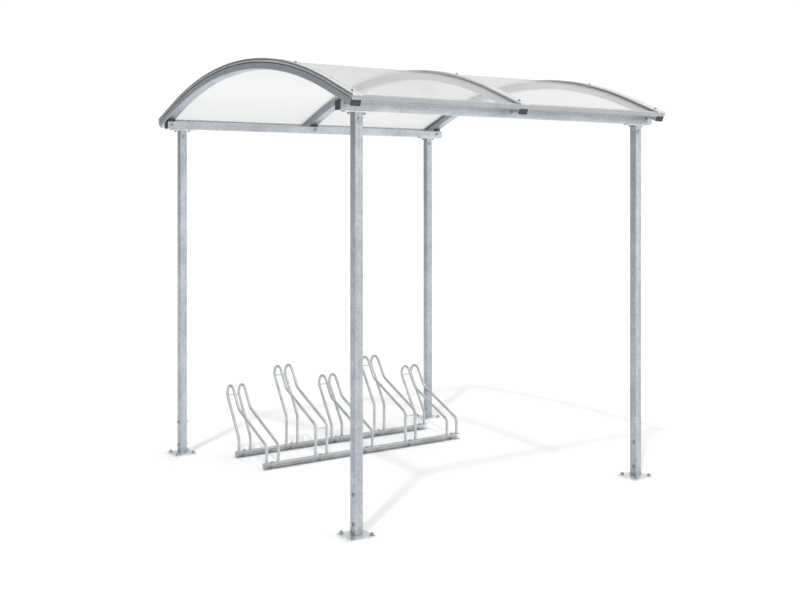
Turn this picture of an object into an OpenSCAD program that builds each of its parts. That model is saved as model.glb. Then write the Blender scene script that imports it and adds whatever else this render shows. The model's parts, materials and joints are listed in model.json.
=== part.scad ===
// Arched bike shelter: four posts, two beams, three bent ribs, a two-sheet
// barrel roof, and a five-place floor rack for the front wheels.
// Millimetres. The origin is the middle of the footprint on the ground,
// X runs along the beams, Y across the span (front is -Y), Z is up.

/* [Plan] */
// Distance between post centres along the beams
post_pitch_x = 2055; // [1700:5:2600]
// Distance between post centres across the span
post_pitch_y = 2167; // [1700:1:2700]
// Beam tube beyond the last post centre
beam_overhang = 111.5; // [105:0.5:300]
// Rib end beyond the post centre, along the ground
rib_overhang = 119.5; // [90:0.5:220]

/* [Posts] */
// Side of the square post and beam tube
post_size = 50; // [45:1:70]
// Wall of the square tube
post_wall = 3; // [2:0.5:3.5]
// Outer corner radius of every steel tube
tube_corner = 5; // [4:0.5:7]
// Underside of the beams above the ground
beam_underside = 2185; // [1800:5:2600]

/* [Feet] */
// Side of the base plate
foot_plate = 150; // [130:1:220]
// Thickness of the base plate
foot_thick = 10; // [6:1:20]
// Distance between the anchor holes, both ways
anchor_pitch = 115; // [100:1:125]
// Diameter of an anchor hole
anchor_hole = 14; // [10:0.5:18]
// Height of the stub inside the post
stub_height = 260; // [240:5:400]
// Clearance of a stub, spigot or cap insert in its tube, each side
sleeve_gap = 0.3; // [0.2:0.05:0.6]

/* [Heads] */
// Length of the head plate along the beam
head_length = 160; // [140:1:220]
// Thickness of the head plate
head_thick = 8; // [5:1:12]
// Length of the spigot that goes down into the post
spigot_length = 90; // [60:5:160]
// Diameter of the vent in the top of the post
vent_dia = 12; // [8:0.5:16]
// Centre of the vent below the head plate
vent_drop = 3; // [2:0.5:5]

/* [Ribs] */
// Width of the bent rib tube
rib_width = 60; // [50:1:80]
// Depth of the bent rib tube
rib_depth = 40; // [30:1:60]
// Wall of the rib tube
rib_wall = 3; // [2:0.5:3.5]
// Radius of the arch, at the middle of the tube
arch_radius = 2620; // [2200:10:4000]
// Straight run at each end of a rib
rib_straight = 250; // [180:5:320]
// Distance from the middle rib to the middle of an end rib
rib_pitch = 1110; // [900:1:1400]
// Thickness of the black end caps
cap_thick = 4; // [3:0.5:6]
// Length of a cap's insert in its tube
cap_insert = 15; // [8:1:30]
// Width of the wedge pads between the beams and the ribs
seat_width = 40; // [20:1:50]

/* [Roof] */
// Thickness of the lower sealing strip
seal_lower = 3; // [2:0.5:5]
// Thickness of the upper sealing strip
seal_upper = 2.5; // [2:0.5:4]
// Thickness of the twin-wall sheet
sheet_thick = 10; // [6:1:16]
// Gap between the two sheets over the middle rib
sheet_gap = 8; // [4:1:20]
// Height of the capping bar that clamps the sheets
capping_height = 8.5; // [5:0.5:12]
// Chamfer along the capping bar's top edges
capping_chamfer = 2; // [1:0.5:3]
// Width across flats of a screw head on the capping bars
screw_flats = 8; // [6:0.5:13]
// Height of a screw head
screw_height = 5.5; // [3:0.5:8]
// Diameter of the washer under a screw head
screw_washer = 16; // [12:0.5:22]
// Thickness of the washer
screw_washer_thick = 1.5; // [1:0.5:3]
// Middle of the last screw from the capping bar's end
screw_end = 60; // [30:1:120]
// Thickness of the eave profile's web
eave_web = 2.5; // [2:0.5:4]
// Length of the eave profile's two flanges, from the rib's end
eave_flange = 20; // [12:1:40]
// Gap between a rib's end cap and the eave profile
eave_gap = 0.5; // [0.3:0.1:3]
// Drip lip of the eave profile below the rib's top
eave_lip = 6; // [3:0.5:12]
// Sheet end beyond the rib's end
sheet_tail = 2; // [0:0.5:3]

/* [Rack] */
// Distance between wheel places
rack_pitch = 360; // [340:5:420]
// Rail beyond the middle of the last wheel place
rail_tail = 62; // [52:1:140]
// Side of the rack's channel rails
rail_size = 40; // [30:1:60]
// Wall of the rails
rail_wall = 3; // [2:0.5:4]
// Outer bend radius of the rails
rail_corner = 6; // [5:0.5:8]
// Diameter of the anchor holes in the rails
rail_hole = 11; // [9:0.5:14]
// Middle of the front rail, across the span
front_rail_y = 381; // [340:1:420]
// Middle of the back rail, across the span
back_rail_y = 769; // [740:1:830]
// Diameter of the bent hoop rod
hoop_rod = 19; // [14:0.5:22]
// Distance between the two hoops of one wheel place
hoop_gap = 85; // [70:1:105]
// Top of a low hoop, at the middle of its rod
hoop_top = 459; // [430:1:520]
// How much higher the raised hoops stand
hoop_raise = 100; // [60:1:140]
// Height of the first bend of a low hoop's back leg
back_bend = 130; // [100:1:160]
// Height of the lowest bend of a low hoop's front leg
front_bend = 147; // [125:1:170]
// The same bend of a raised hoop
front_bend_high = 238; // [215:1:260]
// Lean of the hoop from upright, in degrees
hoop_lean = 33; // [28:1:36]
// Radius of the hairpin at the top, at the middle of the rod
hairpin_radius = 52; // [40:1:60]
// Radius of the gentle bends
bend_wide = 60; // [40:1:70]
// Radius of the tight bend over the front rail
bend_tight = 32; // [25:1:40]
// Diameter of the thin cross rods between two hoops
cross_rod = 8; // [6:0.5:10]
// Distance of the upper cross rod below the top of the hoop
cross_drop = 70; // [60:1:90]
// Distance of a raised place's lower cross rod below its front bend
knee_drop = 24; // [18:1:40]

/* [Hidden] */

round_fn = 48;
bend_fn = 96;
arch_fn = 240;

steel = [0.72, 0.75, 0.78];
rack_steel = [0.62, 0.64, 0.66];
aluminium = [0.80, 0.82, 0.83];
black = [0.16, 0.16, 0.17];
clear = [0.90, 0.92, 0.93, 0.6];

// Plan places
post_x = post_pitch_x / 2;
post_y = post_pitch_y / 2;
beam_half = post_x + beam_overhang;
rib_end_y = post_y + rib_overhang;

// Heights
post_top = beam_underside - head_thick;
beam_middle = beam_underside + post_size / 2;
beam_top = beam_underside + post_size;

// The rib's arc and its two straight ends meet where they are tangent
arch_angle = asin(rib_end_y / norm([arch_radius, rib_straight]))
    - atan(rib_straight / arch_radius);
// The straight end rests on the beam's outer top edge
arch_centre_z = beam_top + (post_y + post_size / 2) * tan(arch_angle)
    - (arch_radius - rib_depth / 2) / cos(arch_angle);

// Layers of the roof, outwards from the middle of the rib tube
rib_top = rib_depth / 2;
sheet_low = rib_top + seal_lower;
sheet_high = sheet_low + sheet_thick;
capping_low = sheet_high + seal_upper;
capping_high = capping_low + capping_height;
// Distances along the slope beyond the rib's end
eave_inner = cap_thick + eave_gap;
eave_outer = eave_inner + eave_web;
seal_stop = eave_flange + 0.5;

// How far a straight run reaches back into the arc, so that they join
run_lap = 0.02;

// Screws on each side of the ridge, and how far a washer beds into the bar
screw_pairs = 2;
screw_sink = 0.5;

roof_half = rib_pitch + rib_width / 2;

// Rack
rack_places = 5;
rod_lap = 0.8;
bend_swell = 0.06;
rail_half = (rack_places - 1) * rack_pitch / 2 + rail_tail;

function place_x(i) = (i - (rack_places + 1) / 2) * rack_pitch;
function is_high(i) = i % 2 == 0;

// ---- Profiles ----------------------------------------------------------

module rounded_rect(w, h, r) {
    translate([-w / 2 + r, -h / 2]) square([w - 2 * r, h]);
    translate([-w / 2, -h / 2 + r]) square([w, h - 2 * r]);
    for (sx = [-1, 1], sy = [-1, 1])
        translate([sx * (w / 2 - r), sy * (h / 2 - r)]) circle(r = r, $fn = round_fn);
}

// Rectangular hollow section, centred
module tube_section(w, h, wall, r) {
    difference() {
        rounded_rect(w, h, r);
        rounded_rect(w - 2 * wall, h - 2 * wall, r - wall);
    }
}

// What fits inside a rectangular tube with the sleeve clearance
module insert_section(w, h, wall, r) {
    inset = 2 * (wall + sleeve_gap);
    rounded_rect(w - inset, h - inset, r - wall);
}

// ---- Placing -----------------------------------------------------------

module at_post(sx, sy) {
    translate([sx * post_x, sy * post_y, 0]) children();
}

// Extrudes a section along X; the section's x is world Y and its y is world Z
module along_x(x_from, x_to) {
    translate([x_from, 0, 0]) rotate([90, 0, 90]) linear_extrude(x_to - x_from) children();
}

// The frame at a rib's end: x runs on down the slope, y points up out of the
// roof and z is world X. The front end is the mirror image of the back one.
module at_rib_end(side) {
    mirror([0, side < 0 ? 1 : 0, 0])
        rotate([90, 0, 90])
            translate([0, arch_centre_z, 0])
                rotate([0, 0, -arch_angle])
                    translate([rib_straight, arch_radius, 0])
                        children();
}

// Sweeps a section over the roof's line: x is outwards from the middle of the
// rib tube, y is world X. run is the straight length at each end.
module over_arch(run) {
    rotate([90, 0, 90]) translate([0, arch_centre_z, 0]) {
        rotate([0, 0, 90 - arch_angle])
            rotate_extrude(angle = 2 * arch_angle, $fn = arch_fn)
                translate([arch_radius, 0]) children();
        for (side = [0, 1])
            mirror([side, 0, 0])
                rotate([0, 0, 90 - arch_angle])
                    translate([arch_radius, run_lap, 0])
                        rotate([90, 0, 0])
                            linear_extrude(run + run_lap) children();
    }
}

// ---- Posts, feet and heads ---------------------------------------------

module vent_cut() {
    translate([-post_size, 0, post_top - vent_drop])
        rotate([0, 90, 0]) cylinder(d = vent_dia, h = 2 * post_size, $fn = round_fn);
}

module foot() {
    color(steel) {
        difference() {
            linear_extrude(foot_thick) rounded_rect(foot_plate, foot_plate, 3);
            for (sx = [-1, 1], sy = [-1, 1])
                translate([sx * anchor_pitch / 2, sy * anchor_pitch / 2, -1])
                    cylinder(d = anchor_hole, h = foot_thick + 2, $fn = round_fn);
        }
        translate([0, 0, foot_thick]) linear_extrude(stub_height) inner_tube();
    }
}

// Section of the stub and of the spigot, a tube that slides into the post
module inner_tube() {
    bore = post_size - 4 * post_wall - 2 * sleeve_gap;
    difference() {
        insert_section(post_size, post_size, post_wall, tube_corner);
        rounded_rect(bore, bore, 1);
    }
}

module post() {
    color(steel) difference() {
        translate([0, 0, foot_thick])
            linear_extrude(post_top - foot_thick)
                tube_section(post_size, post_size, post_wall, tube_corner);
        vent_cut();
    }
}

module head() {
    color(steel) {
        translate([-head_length / 2, -post_size / 2, post_top])
            cube([head_length, post_size, head_thick]);
        difference() {
            translate([0, 0, post_top - spigot_length])
                linear_extrude(spigot_length) inner_tube();
            vent_cut();
        }
    }
}

module foot_front_left() { at_post(-1, -1) foot(); }
module foot_front_right() { at_post(1, -1) foot(); }
module foot_back_left() { at_post(-1, 1) foot(); }
module foot_back_right() { at_post(1, 1) foot(); }

module post_front_left() { at_post(-1, -1) post(); }
module post_front_right() { at_post(1, -1) post(); }
module post_back_left() { at_post(-1, 1) post(); }
module post_back_right() { at_post(1, 1) post(); }

module head_front_left() { at_post(-1, -1) head(); }
module head_front_right() { at_post(1, -1) head(); }
module head_back_left() { at_post(-1, 1) head(); }
module head_back_right() { at_post(1, 1) head(); }

// ---- Beams -------------------------------------------------------------

module beam(side) {
    color(steel)
        translate([0, side * post_y, beam_middle])
            along_x(-beam_half, beam_half)
                tube_section(post_size, post_size, post_wall, tube_corner);
}

module beam_caps(side) {
    color(black)
        for (end = [0, 1])
            mirror([end, 0, 0]) translate([0, side * post_y, beam_middle]) {
                along_x(beam_half, beam_half + cap_thick)
                    rounded_rect(post_size, post_size, tube_corner);
                along_x(beam_half - cap_insert, beam_half)
                    insert_section(post_size, post_size, post_wall, tube_corner);
            }
}

module beam_front() { beam(-1); }
module beam_back() { beam(1); }
module beam_caps_front() { beam_caps(-1); }
module beam_caps_back() { beam_caps(1); }

// ---- Ribs --------------------------------------------------------------

module rib(x) {
    color(steel) translate([x, 0, 0]) over_arch(rib_straight)
        tube_section(rib_depth, rib_width, rib_wall, tube_corner);
}

// Black end caps of the three ribs, on one side of the shelter
module rib_caps(side) {
    color(black)
        for (x = [-rib_pitch, 0, rib_pitch])
            translate([x, 0, 0]) at_rib_end(side) {
                rotate([0, 90, 0]) linear_extrude(cap_thick)
                    rounded_rect(rib_width, rib_depth, tube_corner);
                translate([-cap_insert, 0, 0]) rotate([0, 90, 0]) linear_extrude(cap_insert)
                    insert_section(rib_width, rib_depth, rib_wall, tube_corner);
            }
}

function rib_underside(y) = beam_top + (post_y + post_size / 2 - y) * tan(arch_angle);

// Wedge pads that fill the angle between a beam's flat top and the ribs
module rib_seats(side) {
    flat_outer = post_y + post_size / 2 - tube_corner;
    flat_inner = post_y - post_size / 2 + tube_corner;
    color(black)
        mirror([0, side < 0 ? 1 : 0, 0])
            for (x = [-rib_pitch, 0, rib_pitch])
                along_x(x - seat_width / 2, x + seat_width / 2)
                    polygon([
                        [flat_inner, beam_top],
                        [flat_outer, beam_top],
                        [flat_outer, rib_underside(flat_outer)],
                        [flat_inner, rib_underside(flat_inner)]
                    ]);
}

module rib_left() { rib(-rib_pitch); }
module rib_middle() { rib(0); }
module rib_right() { rib(rib_pitch); }
module rib_caps_front() { rib_caps(-1); }
module rib_caps_back() { rib_caps(1); }
module rib_seats_front() { rib_seats(-1); }
module rib_seats_back() { rib_seats(1); }

// ---- Roof --------------------------------------------------------------

// The strips under and over the sheets, along one rib
module seals(x) {
    color(black) translate([x, 0, 0]) for (layer = [[rib_top, sheet_low], [sheet_high, capping_low]])
        over_arch(rib_straight - seal_stop)
            translate([layer[0], -rib_width / 2])
                square([layer[1] - layer[0], rib_width]);
}

module roof_sheet(x_from, x_to) {
    color(clear) over_arch(rib_straight + sheet_tail)
        translate([sheet_low, x_from]) square([sheet_thick, x_to - x_from]);
}

module capping(x) {
    half = rib_width / 2;
    color(aluminium) translate([x, 0, 0]) {
        over_arch(rib_straight + eave_outer)
            polygon([
                [capping_low, -half],
                [capping_high - capping_chamfer, -half],
                [capping_high, -half + capping_chamfer],
                [capping_high, half - capping_chamfer],
                [capping_high - capping_chamfer, half],
                [capping_low, half]
            ]);
        capping_screws();
    }
}

// Hexagon heads on washers, evenly spaced over the capping bar
module capping_screws() {
    arc = (arch_radius + capping_high) * arch_angle * PI / 180;
    reach = arc + rib_straight + eave_outer - screw_end;
    for (i = [-screw_pairs:screw_pairs]) {
        along = reach * abs(i) / screw_pairs;
        mirror([0, i < 0 ? 1 : 0, 0])
            translate([0, 0, arch_centre_z])
                rotate([-arch_angle * min(along / arc, 1), 0, 0])
                    translate([0, max(along - arc, 0), arch_radius + capping_high]) {
                        translate([0, 0, -screw_sink])
                            cylinder(d = screw_washer, h = screw_sink + screw_washer_thick, $fn = round_fn);
                        translate([0, 0, screw_washer_thick])
                            cylinder(d = screw_flats / cos(30), h = screw_height, $fn = 6);
                    }
    }
}

// Channel that closes the sheets' ends, with a drip lip over the rib caps
module eave(side) {
    color(aluminium)
        at_rib_end(side) translate([0, 0, -roof_half]) linear_extrude(2 * roof_half) {
            translate([eave_inner, rib_top - eave_lip])
                square([eave_web, capping_low - rib_top + eave_lip]);
            for (layer = [[rib_top, sheet_low], [sheet_high, capping_low]])
                translate([-eave_flange, layer[0]])
                    square([eave_flange + eave_outer, layer[1] - layer[0]]);
        }
}

module seals_left() { seals(-rib_pitch); }
module seals_middle() { seals(0); }
module seals_right() { seals(rib_pitch); }
module roof_sheet_left() { roof_sheet(-roof_half, -sheet_gap / 2); }
module roof_sheet_right() { roof_sheet(sheet_gap / 2, roof_half); }
module capping_left() { capping(-rib_pitch); }
module capping_middle() { capping(0); }
module capping_right() { capping(rib_pitch); }
module eave_front() { eave(-1); }
module eave_back() { eave(1); }

// ---- Rack --------------------------------------------------------------

// Section of the channel rail, bent at its back and open to the front
module channel_section() {
    bore = rail_size - 2 * rail_wall;
    difference() {
        union() {
            rounded_rect(rail_size, rail_size, rail_corner);
            translate([-rail_size / 2, -rail_size / 2]) square([rail_size / 2, rail_size]);
        }
        rounded_rect(bore, bore, rail_corner - rail_wall);
        translate([-rail_size / 2 - 1, -bore / 2]) square([rail_size / 2, bore]);
    }
}

// Channel rail with an anchor hole at each wheel place
module rack_rail(y) {
    color(rack_steel) difference() {
        translate([0, y, rail_size / 2]) along_x(-rail_half, rail_half) channel_section();
        for (i = [1:rack_places])
            translate([place_x(i), y, -1])
                cylinder(d = rail_hole, h = rail_size + 2, $fn = round_fn);
    }
}

// Straight length that a bend of this radius and angle takes at each side
function bend_trim(radius, angle) = radius * tan(angle / 2);

// Round rod of straight lengths and bends, drawn along x from the origin and
// bending in the xy plane. The rod is a hair fatter in its bends, so each
// straight length runs into the bend before and after it.
module rod_run(lengths, turns, radii, i = 0) {
    from = i == 0 ? 0 : -rod_lap;
    to = lengths[i] + (i == len(turns) ? 0 : rod_lap);
    translate([from, 0, 0])
        rotate([0, 90, 0]) cylinder(d = hoop_rod, h = to - from, $fn = round_fn);
    if (i < len(turns)) {
        way = sign(turns[i]);
        translate([lengths[i], way * radii[i], 0]) {
            rotate([0, 0, way > 0 ? -90 : 90 + turns[i]])
                rotate_extrude(angle = abs(turns[i]), $fn = bend_fn)
                    translate([radii[i], 0])
                        circle(d = hoop_rod + bend_swell, $fn = round_fn);
            rotate([0, 0, turns[i]]) translate([0, -way * radii[i], 0])
                rod_run(lengths, turns, radii, i + 1);
        }
    }
}

// One hoop: up from the back rail, leaning back to a hairpin, down again, and
// forward down a slope to the front rail. All points are [y, z].
module hoop(lift, front_corner) {
    along = [sin(hoop_lean), cos(hoop_lean)];
    across = [cos(hoop_lean), -sin(hoop_lean)];
    back_corner = [back_rail_y, back_bend + lift];
    pin_z = hoop_top + lift - hairpin_radius;
    back_run = (pin_z + hairpin_radius * across[1] - back_corner[1]) / along[1];
    pin_exit = back_corner + along * back_run - 2 * hairpin_radius * across;
    front_run = (pin_exit[0] - back_rail_y) / along[0];
    middle_corner = pin_exit - along * front_run;
    slope = [front_rail_y, front_corner] - middle_corner;
    // turns from one direction to the next, anticlockwise from +y
    slope_way = 360 + atan2(slope[1], slope[0]);
    middle_turn = slope_way - (270 - hoop_lean);
    rail_turn = 270 - slope_way;
    rotate([90, 0, 90]) translate([back_rail_y, rail_size, 0]) rotate([0, 0, 90])
        rod_run(
            [
                back_corner[1] - rail_size - bend_trim(bend_wide, hoop_lean),
                back_run - bend_trim(bend_wide, hoop_lean),
                front_run - bend_trim(bend_wide, abs(middle_turn)),
                norm(slope) - bend_trim(bend_wide, abs(middle_turn))
                    - bend_trim(bend_tight, rail_turn),
                front_corner - rail_size - bend_trim(bend_tight, rail_turn)
            ],
            [-hoop_lean, 180, middle_turn, rail_turn],
            [bend_wide, hairpin_radius, bend_wide, bend_tight]
        );
}

// Thin rod that joins the two hoops of a wheel place
module hoop_tie(y, z) {
    translate([-hoop_gap / 2, y, z])
        rotate([0, 90, 0]) cylinder(d = cross_rod, h = hoop_gap, $fn = round_fn);
}

module rack_hoops(i) {
    lift = is_high(i) ? hoop_raise : 0;
    front_corner = is_high(i) ? front_bend_high : front_bend;
    tie_z = hoop_top + lift - cross_drop;
    tie_y = back_rail_y + tan(hoop_lean) * (tie_z - back_bend - lift);
    color(rack_steel) translate([place_x(i), 0, 0]) {
        for (sx = [-1, 1])
            translate([sx * hoop_gap / 2, 0, 0]) hoop(lift, front_corner);
        hoop_tie(tie_y, tie_z);
        if (is_high(i)) hoop_tie(front_rail_y, front_corner - knee_drop);
    }
}

module rack_rail_front() { rack_rail(front_rail_y); }
module rack_rail_back() { rack_rail(back_rail_y); }
module rack_hoops_1() { rack_hoops(1); }
module rack_hoops_2() { rack_hoops(2); }
module rack_hoops_3() { rack_hoops(3); }
module rack_hoops_4() { rack_hoops(4); }
module rack_hoops_5() { rack_hoops(5); }

// ---- Nodes -------------------------------------------------------------

foot_front_left();
foot_front_right();
foot_back_left();
foot_back_right();
post_front_left();
post_front_right();
post_back_left();
post_back_right();
head_front_left();
head_front_right();
head_back_left();
head_back_right();
beam_front();
beam_back();
beam_caps_front();
beam_caps_back();
rib_left();
rib_middle();
rib_right();
rib_caps_front();
rib_caps_back();
rib_seats_front();
rib_seats_back();
seals_left();
seals_middle();
seals_right();
roof_sheet_left();
roof_sheet_right();
capping_left();
capping_middle();
capping_right();
eave_front();
eave_back();
rack_rail_front();
rack_rail_back();
rack_hoops_1();
rack_hoops_2();
rack_hoops_3();
rack_hoops_4();
rack_hoops_5();
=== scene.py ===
# %% [markdown]
# # An arched bike shelter in galvanised steel and clear sheet
#
# The measured frame comes from the CAD model: feet, posts, head plates, beams,
# bent ribs, roof sheets, capping bars and the rack for the front wheels. Those
# solids stay exactly where they are. This notebook gives each of them the
# finish of the real material, and adds what a CAD model leaves out: anchor
# bolts, nuts, washers, shaped roof screws, weld beads, moulded end caps, the
# trims of the sheets' ends and the flutes of the sheets.

# %% Load the measured frame
import json
import math

import bmesh
import bpy
from mathutils import Matrix, Vector

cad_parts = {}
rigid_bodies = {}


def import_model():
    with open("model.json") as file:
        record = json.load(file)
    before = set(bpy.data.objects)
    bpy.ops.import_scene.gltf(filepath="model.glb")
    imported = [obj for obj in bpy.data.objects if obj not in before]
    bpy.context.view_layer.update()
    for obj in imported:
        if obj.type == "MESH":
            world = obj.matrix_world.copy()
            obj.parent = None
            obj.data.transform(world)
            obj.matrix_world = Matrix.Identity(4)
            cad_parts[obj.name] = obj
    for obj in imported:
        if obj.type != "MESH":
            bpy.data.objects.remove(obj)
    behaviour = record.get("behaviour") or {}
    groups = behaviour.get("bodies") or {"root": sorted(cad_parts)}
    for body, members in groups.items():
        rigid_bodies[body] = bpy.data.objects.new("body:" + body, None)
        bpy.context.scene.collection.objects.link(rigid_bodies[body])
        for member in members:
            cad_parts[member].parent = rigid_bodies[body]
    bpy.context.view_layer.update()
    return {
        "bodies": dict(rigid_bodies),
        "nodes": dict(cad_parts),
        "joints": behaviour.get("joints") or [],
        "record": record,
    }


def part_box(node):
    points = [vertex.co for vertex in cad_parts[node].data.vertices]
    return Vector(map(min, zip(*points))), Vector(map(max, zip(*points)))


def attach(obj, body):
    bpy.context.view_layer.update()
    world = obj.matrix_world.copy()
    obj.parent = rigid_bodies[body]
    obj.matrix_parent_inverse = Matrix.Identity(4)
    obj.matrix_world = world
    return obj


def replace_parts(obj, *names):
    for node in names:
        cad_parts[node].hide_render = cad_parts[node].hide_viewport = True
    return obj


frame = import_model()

nodes = frame["nodes"]
scene = bpy.context.scene

# %% [markdown]
# ## The camera
# Someone stands in front of the left-hand corner and looks level at the
# shelter, so the posts stay upright in the picture. A camera that tilts down
# would make them lean. A level one keeps them straight, and its shift, not its
# tilt, brings the feet into the picture.

# %% Camera
SENSOR, FOCAL, RISE = 36, 49.937, -0.1389
EYE, LOOKS_RIGHT = (-4.1146, -5.8781, 1.7841), 35.017
lens = bpy.data.cameras.new("camera")
lens.sensor_width = SENSOR
lens.lens = FOCAL
lens.shift_y = RISE
camera = bpy.data.objects.new("camera", lens)
camera.location = EYE
camera.rotation_euler = (math.radians(90), 0, math.radians(-LOOKS_RIGHT))
scene.collection.objects.link(camera)
scene.camera = camera
print("camera at", tuple(round(c, 3) for c in camera.location))

# %% [markdown]
# ## Soft studio light
# A white room lights the shelter from everywhere, a little more from the
# front, the right and above than from the left, so that the two faces of a
# square post differ. It could be built from large lamps, but a sky that grows
# brighter in one direction gives the same softness with no lamp edges in the
# steel. The sky that the lens sees is plain white, as a studio's wall is. One
# weak lamp, high on the left, draws the thin pale shadows on the ground.

# %% A sky that is brighter in front, on the right and above
BRIGHTER_TOWARDS, SKY_LEVEL, WALL_LEVEL = (0.62, -0.42, 0.20), 0.82, 1.05
room = bpy.data.worlds.new("studio room")
scene.world = room
room.use_nodes = True
sky = room.node_tree
sky.nodes.clear()
where = sky.nodes.new("ShaderNodeTexCoord")
side = sky.nodes.new("ShaderNodeVectorMath")
side.operation = "DOT_PRODUCT"
side.inputs[1].default_value = BRIGHTER_TOWARDS
level = sky.nodes.new("ShaderNodeMath")
level.operation = "ADD"
level.inputs[1].default_value = SKY_LEVEL
lit = sky.nodes.new("ShaderNodeBackground")
lit.inputs["Color"].default_value = (1.0, 0.995, 0.985, 1)
plain = sky.nodes.new("ShaderNodeBackground")
plain.inputs["Color"].default_value = (1, 1, 1, 1)
plain.inputs["Strength"].default_value = WALL_LEVEL
seen = sky.nodes.new("ShaderNodeLightPath")
pick = sky.nodes.new("ShaderNodeMixShader")
out = sky.nodes.new("ShaderNodeOutputWorld")
sky.links.new(where.outputs["Generated"], side.inputs[0])
sky.links.new(side.outputs["Value"], level.inputs[0])
sky.links.new(level.outputs[0], lit.inputs["Strength"])
sky.links.new(seen.outputs["Is Camera Ray"], pick.inputs[0])
sky.links.new(lit.outputs[0], pick.inputs[1])
sky.links.new(plain.outputs[0], pick.inputs[2])
sky.links.new(pick.outputs[0], out.inputs["Surface"])
scene.view_settings.view_transform = "Standard"
print("room", room.name)

# %% One weak lamp for the shadows
LAMP_STANDS_AT, LAMP_ENERGY, LAMP_ANGLE = (-1.063, -0.868, 2.2), 0.8, 3
sun = bpy.data.lights.new("shadow lamp", "SUN")
sun.energy = LAMP_ENERGY
sun.angle = math.radians(LAMP_ANGLE)
lamp = bpy.data.objects.new("shadow_lamp", sun)
lamp.rotation_euler = Vector(LAMP_STANDS_AT).to_track_quat("Z", "Y").to_euler()
scene.collection.objects.link(lamp)
print("lamp energy", sun.energy)

# %% [markdown]
# ## Node helpers
# Every finish below is a small tree of nodes. A few helpers keep the trees
# readable: one adds a node and fills its values, two do sums and stretch a
# range, one turns a mask into colours, and one makes a node group with named
# sockets. An effect that more than one finish needs becomes a group, so it is
# drawn once and tuned in each.

# %% Helpers for materials
def add(tree, kind, values=(), **settings):
    node = tree.nodes.new(kind)
    for name, value in settings.items():
        setattr(node, name, value)
    for socket, value in dict(values).items():
        if isinstance(value, bpy.types.NodeSocket):
            tree.links.new(value, node.inputs[socket])
        else:
            node.inputs[socket].default_value = value
    return node


def calc(tree, operation, a, b=0.0):
    return add(tree, "ShaderNodeMath", {0: a, 1: b}, operation=operation).outputs[0]


def spread(tree, value, low, high, to_low=0.0, to_high=1.0):
    return add(tree, "ShaderNodeMapRange", {
        "Value": value, "From Min": low, "From Max": high,
        "To Min": to_low, "To Max": to_high}).outputs["Result"]


def tint(tree, mask, *stops):
    ramp = add(tree, "ShaderNodeValToRGB", {"Fac": mask})
    marks = ramp.color_ramp.elements
    for mark, (place_at, colour) in zip(marks, (stops[0], stops[-1])):
        mark.position, mark.color = place_at, (*colour, 1)
    for place_at, colour in stops[1:-1]:
        marks.new(place_at).color = (*colour, 1)
    return ramp.outputs["Color"]


def noise(tree, vector, scale, detail, **more):
    values = {"Vector": vector, "Scale": scale, "Detail": detail, **more}
    return add(tree, "ShaderNodeTexNoise", values).outputs[0]


def bumped(tree, shader, height, strength, distance):
    values = {"Height": height, "Strength": strength, "Distance": distance}
    tree.links.new(add(tree, "ShaderNodeBump", values).outputs[0], shader.inputs["Normal"])


def group(name, inputs, outputs):
    made = bpy.data.node_groups.new(name, "ShaderNodeTree")
    for label, kind, value in inputs:
        socket = made.interface.new_socket(label, in_out="INPUT", socket_type=kind)
        socket.default_value = value
    for label in outputs:
        made.interface.new_socket(label, in_out="OUTPUT", socket_type="NodeSocketFloat")
    ends = made.nodes.new("NodeGroupInput"), made.nodes.new("NodeGroupOutput")
    return made, ends[0].outputs, ends[1].inputs


def finish_of(name):
    made = bpy.data.materials.new(name)
    made.use_nodes = True
    tree = made.node_tree
    return made, tree, tree.nodes["Principled BSDF"], add(tree, "ShaderNodeTexCoord").outputs["Object"]


print("helpers ready")

# %% [markdown]
# ## Hot-dip zinc
# The steel is dipped in molten zinc. It comes out with small crystals, soft
# clouds where the zinc is thicker, and runs that follow the way the part hung
# over the bath. The crystals are cells of a Voronoi pattern, the clouds a wide
# noise, and the runs a noise that is squeezed across the tube. One group makes
# all three, because posts, ribs and rack differ only in scale and direction.

# %% Group: zinc
FLOAT, VECTOR = "NodeSocketFloat", "NodeSocketVector"
zinc, give, take = group(
    "zinc", [("Position", VECTOR, (0, 0, 0)), ("Crystals per metre", FLOAT, 110.0),
             ("Clouds per metre", FLOAT, 7.0), ("Runs", VECTOR, (30, 30, 1.2))],
    ["Tone", "Relief"])
CLOUD_SHARE, RUN_SHARE, CRYSTAL_SHARE, CRYSTAL_EDGE = 0.5, 0.34, 0.16, 0.5
crystals = add(zinc, "ShaderNodeTexVoronoi", {
    "Vector": give["Position"], "Scale": give["Crystals per metre"]})
one = add(zinc, "ShaderNodeSeparateColor", {"Color": crystals.outputs["Color"]}).outputs[0]
clouds = noise(zinc, give["Position"], give["Clouds per metre"], 5.0, Roughness=0.6)
squeezed = add(zinc, "ShaderNodeVectorMath", {0: give["Position"], 1: give["Runs"]}, operation="MULTIPLY")
runs = noise(zinc, squeezed.outputs[0], 1.0, 3.0)
cloudy = calc(zinc, "MULTIPLY", clouds, CLOUD_SHARE)
streaky = calc(zinc, "MULTIPLY", runs, RUN_SHARE)
speckled = calc(zinc, "MULTIPLY", one, CRYSTAL_SHARE)
tone = calc(zinc, "ADD", calc(zinc, "ADD", cloudy, streaky), speckled)
edges = calc(zinc, "MULTIPLY", crystals.outputs["Distance"], CRYSTAL_EDGE)
zinc.links.new(tone, take["Tone"])
zinc.links.new(calc(zinc, "ADD", runs, edges), take["Relief"])
print(zinc.name, "puts out", [s.name for s in zinc.interface.items_tree if s.in_out == "OUTPUT"])
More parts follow.
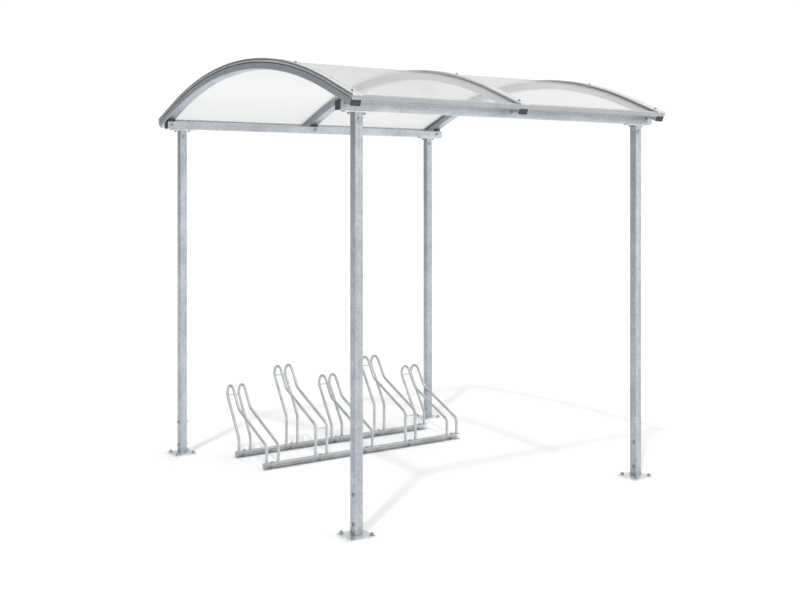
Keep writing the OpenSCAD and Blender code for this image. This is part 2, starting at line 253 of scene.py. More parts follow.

# %% [markdown]
# ## Darker near the ground
# The mask darkens what stands on the paving: it is strong at the ground and
# breaks up with a noise on its way to a hand's width above it. It is a
# group, because posts and rack both use it.

# %% Group: darker near the ground
BREAKUP_PER_METRE, BREAKUP_MIDDLE, FULL_DARKENING = 60.0, 0.75, 0.9
ground_darkening, give, take = group(
    "darker near the ground", [("Position", VECTOR, (0, 0, 0)), ("Height", FLOAT, 0.16)], ["Mask"])
height = add(ground_darkening, "ShaderNodeSeparateXYZ", {0: give["Position"]}).outputs[2]
low = calc(ground_darkening, "SUBTRACT", 1.0, calc(ground_darkening, "DIVIDE", height, give["Height"]))
breakup = noise(ground_darkening, give["Position"], BREAKUP_PER_METRE, 4.0)
reach = calc(ground_darkening, "ADD", low, calc(ground_darkening, "SUBTRACT", breakup, BREAKUP_MIDDLE))
ground_darkening.links.new(spread(ground_darkening, reach, 0.0, FULL_DARKENING), take["Mask"])
print(ground_darkening.name)

# %% [markdown]
# ## The zinc finishes
# Posts hang upright in the bath, so their runs are upright. Beams and ribs
# hang level, so theirs run along the beam. The plates get a paler, less
# metallic copy of the zinc: painted light, for the bright reflection of the
# room on their tops. The rack is rougher, where tyres and spokes scuff it.
# Bolts are spun in a basket, which leaves a thin, even and glossier coat.
# The roof screws are dark stainless steel, and the same tree serves them too.

# %% Zinc finishes
TONE_LOW, TONE_HIGH = 0.36, 0.64


def zinc_finish(name, dark, light, runs, crystals=110.0, clouds=7.0,
                rough=(0.5, 0.34), metal=0.8, darker_at_ground=0.0):
    made, tree, shader, position = finish_of(name)
    coat = add(tree, "ShaderNodeGroup", node_tree=zinc)
    tree.links.new(position, coat.inputs["Position"])
    coat.inputs["Crystals per metre"].default_value = crystals
    coat.inputs["Clouds per metre"].default_value = clouds
    coat.inputs["Runs"].default_value = runs
    tone = spread(tree, coat.outputs["Tone"], TONE_LOW, TONE_HIGH)
    # Darkens the zinc towards the ground by the mask.
    if darker_at_ground:
        near_ground = add(tree, "ShaderNodeGroup", node_tree=ground_darkening)
        tree.links.new(position, near_ground.inputs["Position"])
        tone = calc(tree, "SUBTRACT", tone, calc(tree, "MULTIPLY", near_ground.outputs["Mask"], darker_at_ground))
    middle = [(d + l) / 2 for d, l in zip(dark, light)]
    colour = tint(tree, tone, (0.0, dark), (0.55, middle), (1.0, light))
    tree.links.new(colour, shader.inputs["Base Color"])
    tree.links.new(spread(tree, tone, 0.0, 1.0, *rough), shader.inputs["Roughness"])
    bumped(tree, shader, coat.outputs["Relief"], 0.12, 0.0006)
    shader.inputs["Metallic"].default_value = metal
    return made


UPRIGHT, ALONG_X, ALONG_Y = (42, 42, 1.5), (1.5, 42, 42), (42, 2.5, 2.5)
PLATE_RUNS, RACK_RUNS, BOLT_RUNS = (25, 25, 25), (20, 20, 20), (90, 90, 90)
post_zinc = zinc_finish("hot-dip zinc, upright", (0.32, 0.351, 0.386), (0.475, 0.51, 0.546), UPRIGHT,
                        darker_at_ground=0.12)
# The plates' paler copy of the zinc is painted light: the bright reflection of the room on their tops.
plate_zinc_painted_light = zinc_finish("hot-dip zinc, plates, painted lighter", (0.56, 0.59, 0.62), (0.74, 0.77, 0.79), PLATE_RUNS,
                         crystals=90.0, clouds=16.0, rough=(0.5, 0.36), metal=0.6)
beam_zinc = zinc_finish("hot-dip zinc, along the beam", (0.37, 0.402, 0.432), (0.54, 0.572, 0.602), ALONG_X)
rib_zinc = zinc_finish("hot-dip zinc, along the rib", (0.36, 0.397, 0.438), (0.50, 0.54, 0.582), ALONG_Y)
rack_zinc = zinc_finish("hot-dip zinc, rack", (0.43, 0.45, 0.467), (0.585, 0.607, 0.625), RACK_RUNS,
                        darker_at_ground=0.12, rough=(0.6, 0.45), metal=0.7)
bolt_zinc = zinc_finish("spun zinc, bolts", (0.28, 0.30, 0.32), (0.50, 0.52, 0.54), BOLT_RUNS,
                        crystals=400.0, clouds=40.0, rough=(0.42, 0.28), metal=0.9)
screw_steel = zinc_finish("stainless, roof screws", (0.16, 0.165, 0.17), (0.30, 0.305, 0.31), BOLT_RUNS,
                          crystals=500.0, clouds=60.0, rough=(0.45, 0.3), metal=0.7)
print("zinc finishes", [finish.name for finish in (post_zinc, plate_zinc_painted_light, beam_zinc, rib_zinc, rack_zinc)])

# %% [markdown]
# ## Drawn aluminium
# The capping bars and the eave profiles are pressed through a die, which
# leaves fine lines along their whole length. A noise squeezed hard across the
# profile gives those lines to the colour, the gloss and the relief at once.
# The back eave gets a lighter copy: painted light against the shade on its
# inner face, seen from inside the shelter. The bars are painted lighter too,
# so that their sides in shade read pale, and the outer sides of the two outer
# bars get a darker, more metallic copy: painted shade on the sides that face
# away from the light.

# %% Aluminium finishes
LINE_SHARE, HAZE_SHARE = 0.6, 0.4


def drawn_aluminium(name, across, dark, light, metal):
    made, tree, shader, position = finish_of(name)
    line = add(tree, "ShaderNodeVectorMath", {0: position, 1: across}, operation="MULTIPLY").outputs[0]
    lines = noise(tree, line, 1.0, 4.0)
    haze = noise(tree, position, 9.0, 3.0)
    drawn, hazy = calc(tree, "MULTIPLY", lines, LINE_SHARE), calc(tree, "MULTIPLY", haze, HAZE_SHARE)
    mask = calc(tree, "ADD", drawn, hazy)
    colour = tint(tree, spread(tree, mask, 0.35, 0.65), (0.0, dark), (1.0, light))
    tree.links.new(colour, shader.inputs["Base Color"])
    tree.links.new(spread(tree, mask, 0.3, 0.7, 0.42, 0.26), shader.inputs["Roughness"])
    bumped(tree, shader, lines, 0.15, 0.0002)
    shader.inputs["Metallic"].default_value = metal
    return made


ALONG_EAVE, OVER_ARCH = (2, 700, 700), (700, 3, 3)
eave_aluminium = drawn_aluminium("drawn aluminium, along the eave", ALONG_EAVE,
                                 (0.30, 0.315, 0.33), (0.43, 0.445, 0.46), 0.35)
# The back eave's lighter copy is painted light, against the shade on its inner face.
back_eave_painted_light = drawn_aluminium("drawn aluminium, back eave, painted lighter", ALONG_EAVE,
                                (0.50, 0.515, 0.53), (0.64, 0.655, 0.67), 0.30)
# The bars' light colour is painted light, so that their sides in shade read pale.
bar_aluminium_painted_light = drawn_aluminium("drawn aluminium, over the arch, painted lighter", OVER_ARCH,
                                (0.57, 0.582, 0.595), (0.71, 0.722, 0.735), 0.30)
# This darker, more metallic copy is painted shade on the outer bars' outer sides.
outer_side_painted_shade = drawn_aluminium("drawn aluminium, outer side, painted shade", OVER_ARCH,
                                 (0.38, 0.392, 0.405), (0.52, 0.532, 0.545), 0.85)
print("aluminium finishes", [finish.name for finish in (eave_aluminium, back_eave_painted_light, bar_aluminium_painted_light)])

# %% [markdown]
# ## Black plastic and rubber
# The end caps are moulded with a fine spark-etched grain, and the sealing
# strips are matt rubber that has bloomed a little. Both are nearly black, and
# it is the grain that keeps them from looking like holes in the picture. The
# middle bar's strips get a lighter grey copy of the rubber: painted light, so
# that they don't read as a dark line where they show through the sheets.

# %% Dark finishes
def dark_finish(name, low, high, grain_per_metre, rough, relief=0.0002):
    made, tree, shader, position = finish_of(name)
    grain = noise(tree, position, grain_per_metre, 2.0)
    bloom = noise(tree, position, 22.0, 4.0)
    colour = tint(tree, spread(tree, bloom, 0.35, 0.65), (0.0, low), (1.0, high))
    tree.links.new(colour, shader.inputs["Base Color"])
    tree.links.new(spread(tree, grain, 0.3, 0.7, *rough), shader.inputs["Roughness"])
    bumped(tree, shader, grain, 0.3, relief)
    return made


SPARK_GRAIN, RUBBER_GRAIN, RUBBER_ROUGH = 1400.0, 700.0, (0.7, 0.85)
cap_plastic = dark_finish("moulded black plastic", (0.030, 0.030, 0.032), (0.046, 0.046, 0.048),
                          SPARK_GRAIN, (0.5, 0.65))
seal_rubber = dark_finish("sealing rubber", (0.018, 0.018, 0.018), (0.036, 0.036, 0.035),
                          RUBBER_GRAIN, RUBBER_ROUGH)
# Lighter copy of the sealing rubber: painted light for the strips seen through the sheets.
seal_rubber_painted_light = dark_finish("sealing rubber, painted lighter, between the sheets", (0.32, 0.32, 0.325), (0.44, 0.44, 0.445),
                          RUBBER_GRAIN, RUBBER_ROUGH)
print("plastic and rubber", [finish.name for finish in (cap_plastic, seal_rubber, seal_rubber_painted_light)])

# %% [markdown]
# ## Twin-wall sheet
# Two clear skins are joined by thin upright walls every centimetre, so the
# sheet shows fine lines that run down the slope. Seen square on, most light
# passes. Seen along the slope, the many walls and skins turn it milky. Glass
# with real refraction would be noisy and would block the lamp, so the sheet
# is a thin film that lets light straight through: the walls raise its
# opacity in lines, and a shallow view raises it everywhere. The outer skin
# is painted dark grey: painted shade and reflection where the sheet looks
# grey from outside. The inner skin is painted near white: painted light from
# the floor below it. The edges are closed with a grey tape.

# %% Twin-wall finish
FLUTE, WALL_FILM, THICKEST = 0.0105, 0.10, 0.95


def twin_wall(name, dark, light, square_on, shallow):
    made, tree, shader, position = finish_of(name)
    across = add(tree, "ShaderNodeSeparateXYZ", {0: position}).outputs[0]
    flutes = calc(tree, "DIVIDE", calc(tree, "ADD", across, 2.0), FLUTE)
    from_wall = calc(tree, "ABSOLUTE", calc(tree, "SUBTRACT", calc(tree, "FRACT", flutes), 0.5))
    wall = spread(tree, from_wall, 0.36, 0.46)
    haze = noise(tree, position, 2.5, 2.0)
    milk = calc(tree, "ADD", calc(tree, "MULTIPLY", wall, 0.6), calc(tree, "MULTIPLY", haze, 0.4))
    tree.links.new(tint(tree, milk, (0.0, dark), (1.0, light)), shader.inputs["Base Color"])
    tree.links.new(spread(tree, haze, 0.3, 0.7, 0.16, 0.24), shader.inputs["Roughness"])
    bumped(tree, shader, from_wall, 0.10, 0.0003)
    lean = add(tree, "ShaderNodeLayerWeight", {"Blend": 0.5}).outputs["Facing"]
    slanted = calc(tree, "MULTIPLY", calc(tree, "POWER", lean, 1.5), shallow)
    film = calc(tree, "ADD", square_on, slanted)
    lined = calc(tree, "ADD", film, calc(tree, "MULTIPLY", wall, WALL_FILM))
    tree.links.new(calc(tree, "MINIMUM", lined, THICKEST), shader.inputs["Alpha"])
    return made


# Both skins are the same clear plastic: the outer one's grey is painted shade and reflection, the inner
# one's white is painted light.
outer_skin_painted_shade = twin_wall("twin-wall sheet, outer skin, painted shade", (0.31, 0.312, 0.316), (0.47, 0.472, 0.476),
                       square_on=0.08, shallow=0.45)
inner_skin_painted_light = twin_wall("twin-wall sheet, inner skin, painted light", (0.84, 0.845, 0.85), (0.93, 0.935, 0.94),
                       square_on=0.08, shallow=0.42)
sheet_edge = twin_wall("twin-wall sheet, sealed edge", (0.36, 0.37, 0.38), (0.48, 0.49, 0.50),
                       square_on=0.75, shallow=0.20)
print("flutes every", FLUTE * 1000, "mm")

# %% [markdown]
# ## The ground
# A plain pale floor. It is so large that its edge melts into the room. In a
# real studio the lit floor throws more light up than its picture shows, since
# film clips the white. So the floor glows for every ray but the camera's.

# %% Floor
def linked(name, bm, *finishes):
    """Turns a bmesh into an object in the scene and empties the bmesh."""
    mesh = bpy.data.meshes.new(name)
    bm.to_mesh(mesh)
    bm.free()
    for finish in finishes:
        mesh.materials.append(finish)
    made = bpy.data.objects.new(name, mesh)
    scene.collection.objects.link(made)
    return made


FLOOR_GLOW, FLOOR_REACH = 1.26, 60
ground, tree, shader, position = finish_of("pale ground")
dapple = noise(tree, position, 0.8, 3.0)
paving = tint(tree, dapple, (0.0, (0.93, 0.93, 0.93)), (1.0, (0.95, 0.95, 0.95)))
tree.links.new(paving, shader.inputs["Base Color"])
shader.inputs["Roughness"].default_value = 0.9
shader.inputs["Specular IOR Level"].default_value = 0.1
glow = add(tree, "ShaderNodeEmission", {"Strength": FLOOR_GLOW})
look = add(tree, "ShaderNodeLightPath")
both = add(tree, "ShaderNodeMixShader", {
    0: look.outputs["Is Camera Ray"], 1: glow.outputs[0], 2: shader.outputs[0]})
tree.links.new(both.outputs[0], tree.nodes["Material Output"].inputs["Surface"])
bm = bmesh.new()
bmesh.ops.create_grid(bm, x_segments=8, y_segments=8, size=FLOOR_REACH)
floor = linked("floor", bm, ground)
print("floor", tuple(round(c) for c in floor.dimensions))

# %% [markdown]
# ## Sizes shared with the CAD
# The roof's line is an arc with a straight run at each end. The same few
# sizes that drive the CAD place everything that follows the roof, and the
# boxes of the CAD nodes place everything else.

# %% Sizes
MM = 0.001
ARCH_R, STRAIGHT = 2.620, 0.250
RIB_END_Y, RIB_DEEP, RIB_WIDE = 1.203, 0.040, 0.060
SHEET_LOW, SHEET_HIGH, SHEET_TAIL = 0.023, 0.033, 0.002
ARCH = math.asin(RIB_END_Y / math.hypot(ARCH_R, STRAIGHT)) - math.atan(STRAIGHT / ARCH_R)


def middle(node):
    low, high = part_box(node)
    return (low + high) / 2


CORNERS = ["front_left", "front_right", "back_left", "back_right"]
posts = {corner: middle("post_" + corner) for corner in CORNERS}
ribs_x = [middle("rib_" + name).x for name in ("left", "middle", "right")]
beam_low, beam_high = (corner.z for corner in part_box("beam_front"))
post_half = (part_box("post_front_left")[1].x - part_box("post_front_left")[0].x) / 2
arch_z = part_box("rib_middle")[1].z - RIB_DEEP / 2 - ARCH_R
print("arch", round(math.degrees(ARCH), 3), "degrees about z", round(arch_z, 4))
print("ribs at", [round(x, 3) for x in ribs_x])

# %% [markdown]
# ## Stamping small parts
# A shelter has hundreds of small turned parts: washers, domes, nuts, studs.
# Each kind is drawn once, standing on +Z at the origin, and stamped wherever
# it is needed. Round ones are a line of points spun about Z as on a lathe.
# Hexagons start as a six-sided cone with its corners bevelled off.

# %% Lathe, hexagon and stamp
def lathe(bm, profile, steps=24):
    points = [bm.verts.new((r * MM, 0, z * MM)) for r, z in profile]
    line = [bm.edges.new(pair) for pair in zip(points, points[1:])]
    bmesh.ops.spin(bm, geom=points + line, cent=(0, 0, 0), axis=(0, 0, 1),
                   angle=math.tau, steps=steps, use_merge=True)
    bmesh.ops.remove_doubles(bm, verts=bm.verts[:], dist=1e-6)
    bmesh.ops.dissolve_degenerate(bm, edges=bm.edges[:], dist=1e-7)


def hexagon(bm, across, low, high, corner=0.9):
    radius = across * MM / math.sqrt(3)
    made = bmesh.ops.create_cone(bm, cap_ends=True, segments=6, radius1=radius, radius2=radius,
                                 depth=(high - low) * MM,
                                 matrix=Matrix.Translation((0, 0, (low + high) * MM / 2)))
    bmesh.ops.bevel(bm, geom=made["verts"], offset=corner * MM, affect="VERTICES",
                    segments=1, profile=0.5, material=-1)


def kind(*steps):
    """Draws one small part from its steps and keeps it as a mesh to stamp."""
    bm = bmesh.new()
    for step in steps:
        piece = bmesh.new()
        step(piece)
        bmesh.ops.recalc_face_normals(piece, faces=piece.faces[:])
        drawn = bpy.data.meshes.new("step")
        piece.to_mesh(drawn)
        piece.free()
        bm.from_mesh(drawn)
        bpy.data.meshes.remove(drawn)
    made = bpy.data.meshes.new("kind")
    bm.to_mesh(made)
    bm.free()
    return made


def facing(at, axis=(0, 0, 1), turn=0.0):
    """Where a part drawn on +Z goes: at a point, with its +Z along the axis."""
    lean = Vector(axis).to_track_quat("Z", "Y").to_matrix().to_4x4()
    return Matrix.Translation(at) @ lean @ Matrix.Rotation(turn, 4, "Z")


def ridden(made, smooth):
    """Smooths a finished piece up to an angle, and gives it its body."""
    made.data.shade_smooth()
    made.data.set_sharp_from_angle(angle=math.radians(smooth))
    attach(made, "root")
    return made


def stamped(name, finish, prints):
    """One piece made of many stamped parts. Each print is a kind and its place."""
    bm = bmesh.new()
    for mesh, place in prints:
        before = len(bm.verts)
        bm.from_mesh(mesh)
        bm.verts.ensure_lookup_table()
        bmesh.ops.transform(bm, matrix=place, verts=bm.verts[before:])
    made = ridden(linked(name, bm, finish), smooth=35)
    print(name, len(prints), "parts,", len(made.data.polygons), "faces")
    return made


print("ready to stamp")

# %% [markdown]
# ## The kinds of fastener
# A stud's thread is a row of small rings: at this size nobody sees that they
# are not one helix, and rings close cleanly. A dome is a quarter circle on a
# short rim. A nut or a bolt head is a hexagon on its washer. The sizes are in
# millimetres: radius and height for what is turned, width across the flats
# and height for what is hexagonal.

# %% Fasteners
def washer(outer, low, high, edge=0.4):
    rim = [(0, low), (outer, low), (outer, high - edge), (outer - edge, high), (0, high)]
    return lambda bm: lathe(bm, rim, 20)


def nut(across, low, high):
    return lambda bm: hexagon(bm, across, low, high)


def stud(outer, low, high, pitch=1.75, thread=0.9, point=1.2):
    rings, z = [], low
    while z + pitch <= high - 0.6:
        rings += [(outer - thread, z), (outer, z + pitch / 2)]
        z += pitch
    line = [(0, low), *rings, (outer - thread, z), (outer - point, high), (0, high)]
    return lambda bm: lathe(bm, line, 16)


def dome(outer, rim, high):
    turns = [math.radians(15 * n) for n in range(6)]
    arc = [(outer * math.cos(a), rim + (high - rim) * math.sin(a)) for a in turns]
    return lambda bm: lathe(bm, [(0, 0), (outer, 0), *arc, (0, high)], 24)


anchor_set = kind(washer(12, 0, 2.5), nut(19, 2.5, 11.5), stud(6, 11, 16))
dome_head = kind(washer(14.5, 0, 1.2), dome(13.5, 2.6, 9.0))
hex_head = kind(washer(9, 0, 1.6), nut(17, 1.6, 11.0))
nut_set = kind(washer(9, 0, 1.6), nut(14, 1.6, 9.0), stud(4, 8.5, 12.5, 1.25))
cross_head = kind(washer(11, 0, 2.0), nut(17, 2.0, 9.0))
cross_nut = kind(washer(11, 0, 2.0), nut(17, 2.0, 10.0), stud(5, 9.5, 14.0, 1.5))
kinds = (anchor_set, dome_head, hex_head, nut_set, cross_head, cross_nut)
print("kinds", [len(mesh.polygons) for mesh in kinds], "faces")

# %% [markdown]
# ## Ground anchors and the bolts of the feet
# Four anchors hold each base plate down. Above it, two bolts cross the post
# and the stub inside it, with the heads on the left and the nuts on the right.

# %% Feet
ANCHOR_OFF, PLATE_TOP = 0.0575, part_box("foot_front_left")[0].z + 0.010
PLATE_CORNERS, CROSS_Z = [(-1, -1), (-1, 1), (1, -1), (1, 1)], (0.065, 0.216)
for corner, post in posts.items():
    anchors = []
    for sx, sy in PLATE_CORNERS:
        at = (post.x + sx * ANCHOR_OFF, post.y + sy * ANCHOR_OFF, PLATE_TOP)
        anchors.append((anchor_set, facing(at, turn=0.4 * sx + 0.9 * sy)))
    stamped("anchor_bolts_" + corner, bolt_zinc, anchors)
    cross = []
    for z in CROSS_Z:
        cross += [(cross_head, facing((post.x - post_half, post.y, z), (-1, 0, 0), 0.3 + z)),
                  (cross_nut, facing((post.x + post_half, post.y, z), (1, 0, 0), 0.7 - z))]
    stamped("foot_bolts_" + corner, bolt_zinc, cross)

# %% [markdown]
# ## The bolts of the head plates
# Two bolts pass up through the head plate and the beam, with the nuts below,
# on either side of the post. A round-headed bolt crosses the post and the
# spigot inside it from front to back.

# %% Heads
BEAM_BOLT_OFF, SPIGOT_BOLT_Z = 0.049, 2.137
plate_low = beam_low - 0.008
for corner, post in posts.items():
    outward = 1 if post.y > 0 else -1
    bolts = []
    for off in (-BEAM_BOLT_OFF, BEAM_BOLT_OFF):
        bolts += [(nut_set, facing((post.x + off, post.y, plate_low), (0, 0, -1), 0.5 + 9 * off)),
                  (hex_head, facing((post.x + off, post.y, beam_high), (0, 0, 1), 0.2 + 9 * off))]
    face, back = post.y + outward * post_half, post.y - outward * post_half
    bolts += [(dome_head, facing((post.x, face, SPIGOT_BOLT_Z), (0, outward, 0))),
              (cross_nut, facing((post.x, back, SPIGOT_BOLT_Z), (0, -outward, 0), 0.4))]
    stamped("head_bolts_" + corner, bolt_zinc, bolts)

# %% [markdown]
# ## The bolts under the ribs
# A round-headed bolt crosses the beam under each rib. Its nut is inside the
# shelter, so that nobody can undo it from the street side. The outer ribs end
# over the beam's end caps, so their bolts sit a little further in.

# %% Rib bolts
RIB_BOLT_Z, LEFT_MOST, RIGHT_MOST = 2.213, -1.108, 1.100
for name in ("front", "back"):
    low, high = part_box("beam_" + name)
    outward = 1 if high.y > 0 else -1
    outer, inner = (high.y, low.y) if outward > 0 else (low.y, high.y)
    bolts = []
    for rib_x in ribs_x:
        x = max(LEFT_MOST, min(RIGHT_MOST, rib_x))
        bolts += [(dome_head, facing((x, outer, RIB_BOLT_Z), (0, outward, 0))),
                  (cross_nut, facing((x, inner, RIB_BOLT_Z), (0, -outward, 0), 0.25))]
    stamped("rib_bolts_" + name, bolt_zinc, bolts)

# %% [markdown]
# ## Sweeping a section over the roof
# Sheets and capping bars have one section from eave to eave. The section is
# drawn at the front eave, extruded up the first straight run, spun over the
# arc, and extruded down the other side. The faces that each step starts from
# end up inside the solid, so they are deleted, and the skin stays closed.

# %% Sweep
def rib_end(away):
    """The directions up from the rib and on along it at one eave, and the rib's end between them."""
    up = Vector((0, away * math.sin(ARCH), math.cos(ARCH)))
    on = Vector((0, away * math.cos(ARCH), -math.sin(ARCH)))
    return up, on, Vector((0, 0, arch_z)) + up * ARCH_R + on * STRAIGHT


def run_on(bm, faces, step):
    """Extrudes faces by a step and gives the faces at the far end."""
    grown = bmesh.ops.extrude_face_region(bm, geom=faces)["geom"]
    bmesh.ops.translate(bm, vec=step, verts=[g for g in grown if isinstance(g, bmesh.types.BMVert)])
    return [g for g in grown if isinstance(g, bmesh.types.BMFace)]


def drop(bm, faces):
    bmesh.ops.delete(bm, geom=[f for f in faces if f.is_valid], context="FACES_ONLY")


def swept(section, run, steps=64):
    """A bmesh of the section, given as (x, height above the rib's middle), swept from eave to eave."""
    bm = bmesh.new()
    up, on, _ = rib_end(-1)
    foot = Vector((0, 0, arch_z)) + up * ARCH_R + on * run
    bm.faces.new([bm.verts.new(foot + Vector((x, 0, 0)) + up * rise) for x, rise in section])
    first = run_on(bm, bm.faces[:], -on * run)
    over = bmesh.ops.spin(bm, geom=first, cent=(0, 0, arch_z), axis=(-1, 0, 0),
                          angle=2 * ARCH, steps=steps)
    drop(bm, first)
    last = [g for g in over["geom_last"] if isinstance(g, bmesh.types.BMFace)]
    run_on(bm, last, rib_end(1)[1] * run)
    drop(bm, last)
    bmesh.ops.recalc_face_normals(bm, faces=bm.faces[:])
    bm.normal_update()
    return bm


def shown_as(name, bm, slot, *finishes):
    """Puts a swept bmesh in the scene, smooth along the arc and sharp at its corners."""
    open_edges = sum(len(e.link_faces) != 2 for e in bm.edges)
    made = ridden(linked(name, bm, *finishes), smooth=28)
    print(name, len(made.data.polygons), "faces,", open_edges, "open edges")
    return made


# %% [markdown]
# ## Roof sheets
# The long edges of each sheet are closed with tape. They get a finish of
# their own, so that the thickness shows as a grey band above the rib. Which
# finish a face gets follows from the way it points: out from the arch's
# middle, in towards it, or to the side.

# %% Sheets
for half in ("left", "right"):
    low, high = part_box("roof_sheet_" + half)
    across = [low.x + (high.x - low.x) * n / 6 for n in range(7)]
    plate = [(x, SHEET_LOW) for x in across] + [(x, SHEET_HIGH) for x in reversed(across)]
    bm = swept(plate, STRAIGHT + SHEET_TAIL)
    for face in bm.faces:
        centre = face.calc_center_median()
        outward = face.normal.dot(Vector((0, centre.y, centre.z - arch_z)).normalized())
        face.material_index = 0 if outward > 0.8 else 1 if outward < -0.8 else 2
    sheet = shown_as("twin_wall_" + half, bm, "twin_wall_sheet", outer_skin_painted_shade, inner_skin_painted_light, sheet_edge)
    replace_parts(sheet, "roof_sheet_" + half)

# %% [markdown]
# ## Trims on the sheets' lower ends
# The flutes of a twin-wall sheet are closed at the eaves, or insects would
# move in. A thin folded trim hangs behind the eave profile from rib to rib,
# and its turned-out hem lets the rain drip clear of the beam. Its section is
# a fold on edge, so it is drawn once per bay and extruded along the eave.

# %% Sheet end trims
BEHIND, FRONT, TOP, HEM_TOP, HEM_LOW = 3.0, 4.4, 22.5, 9.2, 8.0
FOLD = [(BEHIND, TOP), (BEHIND, HEM_LOW), (FRONT + 1.8, HEM_LOW - 0.8), (FRONT + 2.4, HEM_LOW + 0.4),
        (FRONT, HEM_TOP), (FRONT, TOP)]
for name, away, finish in (("front", -1, eave_aluminium), ("back", 1, back_eave_painted_light)):
    up, on, end = rib_end(away)
    bm = bmesh.new()
    for rib_x, next_x in zip(ribs_x, ribs_x[1:]):
        at = end + Vector((rib_x + RIB_WIDE / 2 + MM, 0, 0))
        fold = bm.faces.new([bm.verts.new(at + (on * out + up * rise) * MM) for out, rise in FOLD])
        run_on(bm, [fold], Vector((next_x - rib_x - RIB_WIDE - 2 * MM, 0, 0)))
    bmesh.ops.recalc_face_normals(bm, faces=bm.faces[:])
    shown_as("sheet_end_trims_" + name, bm, "aluminium", finish)

# %% [markdown]
# ## Capping bars and their screws
# A capping bar is a shallow aluminium extrusion: two bearing feet, chamfered
# shoulders, and a channel along the middle where the screws sit. Its section
# is the same on both sides, so one half is drawn and the other mirrored. The
# heads are dark stainless hexagons on a metal-backed rubber washer.

# %% Capping
CAP_LOW, CAP_HIGH, SEAT = 0.0355, 0.0440, 0.0428
CHAMFER, HOLLOW, FOOT, CHANNEL = 0.002, 0.001, 0.006, 0.0115
half = RIB_WIDE / 2
over = [(half, CAP_LOW), (half, CAP_HIGH - CHAMFER), (half - CHAMFER, CAP_HIGH), (CHANNEL, CAP_HIGH),
        (CHANNEL - MM, SEAT)]
under = [(half - FOOT, CAP_LOW), (half - FOOT - HOLLOW, CAP_LOW + HOLLOW)]
bar = [(-x, rise) for x, rise in over] + over[::-1] + under + [(-x, rise) for x, rise in under[::-1]]
beyond_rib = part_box("capping_middle")[1].y - RIB_END_Y - CAP_HIGH * math.sin(ARCH)
cap_run = beyond_rib / math.cos(ARCH) + STRAIGHT
screw_seat = kind(washer(8, 0, 1.0))
screw_head = kind(washer(7.6, 1.0, 2.2), nut(8, 2.0, 7.9))
SCREW_PAIRS, SCREW_END = 2, 0.060
ARC_LONG = (ARCH_R + CAP_HIGH) * ARCH
SCREW_REACH = ARC_LONG + cap_run - SCREW_END


def over_bar(along):
    """Where a screw sits, at a distance along the bar from the ridge."""
    turn = math.copysign(ARCH * min(abs(along) / ARC_LONG, 1), along)
    normal = Vector((0, math.sin(turn), math.cos(turn)))
    past_arc = math.copysign(max(abs(along) - ARC_LONG, 0), along)
    down = Vector((0, math.cos(turn), -math.sin(turn))) * past_arc
    return Vector((0, 0, arch_z)) + normal * (ARCH_R + SEAT) + down, normal


for name, x in zip(("left", "middle", "right"), ribs_x):
    bm = swept([(x + dx, rise) for dx, rise in bar], cap_run)
    # The outer sides of the two outer bars take the darker copy: painted shade on the sides facing away
    # from the light.
    for face in bm.faces:
        to_outside = face.normal.x * math.copysign(round(abs(x)), x)
        face.material_index = int(to_outside > 0.5)
    capping = shown_as("capping_bar_" + name, bm, "aluminium", bar_aluminium_painted_light, outer_side_painted_shade)
    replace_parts(capping, "capping_" + name)
    seats, heads = [], []
    for n in range(-SCREW_PAIRS, SCREW_PAIRS + 1):
        point, normal = over_bar(SCREW_REACH * n / SCREW_PAIRS)
        at = point + Vector((x, 0, 0))
        seats.append((screw_seat, facing(at, normal)))
        heads.append((screw_head, facing(at, normal, 0.4 * n + 0.2)))
    stamped("screw_seals_" + name, seal_rubber, seats)
    stamped("roof_screws_" + name, screw_steel, heads)

# %% [markdown]
# ## Moulded end caps
# A cap is a plate with the tube's round corners, a soft outer rim and a
# slightly sunk face. It starts as a cube, its upright edges are bevelled to
# the tube's corner, the front is inset, and the rim is bevelled last so that
# it stays even all round.

# %% End caps
def moulded_cap(width, height, thick=4.0, corner=5.0, rim=1.2, frame=2.4, step=0.6, sunk=0.7):
    def draw(bm):
        place = Matrix.Translation((0, 0, thick * MM / 2))
        size = Matrix.Diagonal((width * MM, height * MM, thick * MM, 1))
        bmesh.ops.create_cube(bm, size=1, matrix=place @ size)
        upright = [e for e in bm.edges if abs(e.verts[0].co.z - e.verts[1].co.z) > MM]
        bmesh.ops.bevel(bm, geom=upright, offset=corner * MM, affect="EDGES",
                        segments=4, profile=0.5, material=-1)
        outline = [e for f in bm.faces if f.normal.z > 0.9 for e in f.edges]
        bmesh.ops.bevel(bm, geom=outline, offset=rim * MM, affect="EDGES",
                        segments=3, profile=0.5, material=-1)
        front = [f for f in bm.faces if f.normal.z > 0.999 and f.calc_area() > width * height * MM * MM / 2]
        bmesh.ops.inset_region(bm, faces=front, thickness=frame * MM, use_even_offset=True)
        bmesh.ops.inset_region(bm, faces=front, thickness=step * MM, depth=-sunk * MM, use_even_offset=True)
    return kind(draw)


rib_cap, beam_cap = moulded_cap(60, 40), moulded_cap(50, 50)
for name, away in (("front", -1), ("back", 1)):
    up, on, end = rib_end(away)
    turned = Matrix((Vector((-away, 0, 0)), up, on)).transposed().to_4x4()
    caps = [(rib_cap, Matrix.Translation(end + Vector((x, 0, 0))) @ turned) for x in ribs_x]
    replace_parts(stamped("moulded_rib_caps_" + name, cap_plastic, caps), "rib_caps_" + name)
    low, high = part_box("beam_" + name)
    beam_y, beam_z = (low.y + high.y) / 2, (beam_low + beam_high) / 2
    ends = [(beam_cap, facing((x, beam_y, beam_z), (way, 0, 0))) for x, way in ((low.x, -1), (high.x, 1))]
    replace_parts(stamped("moulded_beam_caps_" + name, cap_plastic, ends), "beam_caps_" + name)

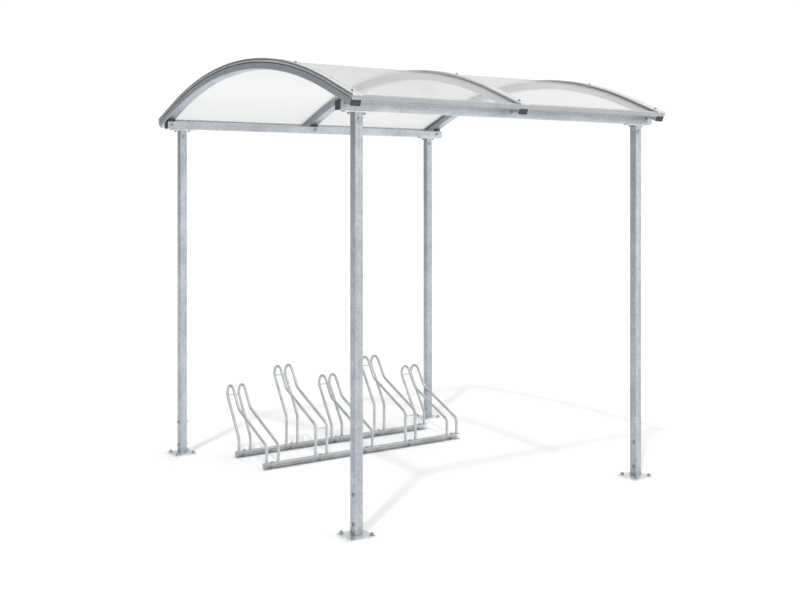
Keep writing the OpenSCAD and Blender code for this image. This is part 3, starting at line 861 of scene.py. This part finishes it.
# %% [markdown]
# ## The rack's bolts and welds
# At each wheel place one bolt goes down through both flanges of the rail,
# between the two hoops. The hoops' legs are welded to the rail all round. A
# weld bead is a ring of small overlapping scales, so its outer edge ripples:
# the ring is turned on the lathe, and its points are then pushed in and out.

# %% Rack bolts and weld beads
RIPPLE, BEAD_STEPS, SAFE = 0.035, 40, 0.3


def bead(inner, outer, high, scales):
    section = [(inner, 0), (outer, 0), (outer - 0.3, high * 0.35), (outer - 1.3, high * 0.75),
               (inner, high), (inner, 0)]

    def draw(bm):
        lathe(bm, section, BEAD_STEPS)
        for v in bm.verts:
            ring = math.hypot(v.co.x, v.co.y)
            if ring > (inner + SAFE) * MM:
                swell = 1 + RIPPLE * math.sin(scales * math.atan2(v.co.y, v.co.x))
                v.co.x, v.co.y = v.co.x * swell, v.co.y * swell
    return kind(draw)


leg_bead = bead(9.3, 13.4, 5.0, 13)
low_nut = kind(washer(10, 0, 1.6), nut(16, 1.6, 8.5), stud(5, 8, 11.5, 1.5))
rail_top, rail_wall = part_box("rack_rail_front")[1].z, 0.003
rails_y = [middle("rack_rail_front").y, middle("rack_rail_back").y]
HOOP_ROD, PLACES = 0.019, range(1, 6)
for place in PLACES:
    low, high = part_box(f"rack_hoops_{place}")
    x, hoop_off = (low.x + high.x) / 2, (high.x - low.x - HOOP_ROD) / 2
    prints = [(dome_head, facing((x, y, rail_top))) for y in rails_y]
    prints += [(low_nut, facing((x, y, rail_wall), turn=0.3 * place)) for y in rails_y]
    stamped(f"rack_bolts_{place}", bolt_zinc, prints)
    beads = [(leg_bead, facing((x + sx * hoop_off, y, rail_top), turn=place + sx))
             for sx in (-1, 1) for y in rails_y]
    stamped(f"rack_welds_{place}", rack_zinc, beads)

# %% [markdown]
# ## Finishes on the measured solids
# The solids that stay get their finish by assigning it to their own material
# slot. Their meshes and places aren't touched. A node takes the finish of the
# longest name that fits it, so one line can dress a family and another line
# can pick out one of its members.

# %% Finishes on the CAD nodes
DRESS = {"foot_": plate_zinc_painted_light, "head_": plate_zinc_painted_light, "post_": post_zinc, "beam_": beam_zinc,
         "rib_": rib_zinc, "rib_seats_": cap_plastic, "seals_": seal_rubber, "seals_middle": seal_rubber_painted_light,
         "eave_": eave_aluminium, "eave_back": back_eave_painted_light, "rack_": rack_zinc}
for name, node in nodes.items():
    fitting = [prefix for prefix in DRESS if name.startswith(prefix)]
    if fitting:
        node.material_slots[0].material = DRESS[max(fitting, key=len)]
print("dressed", sum(not n.hide_render for n in nodes.values()), "of", len(nodes), "CAD nodes")
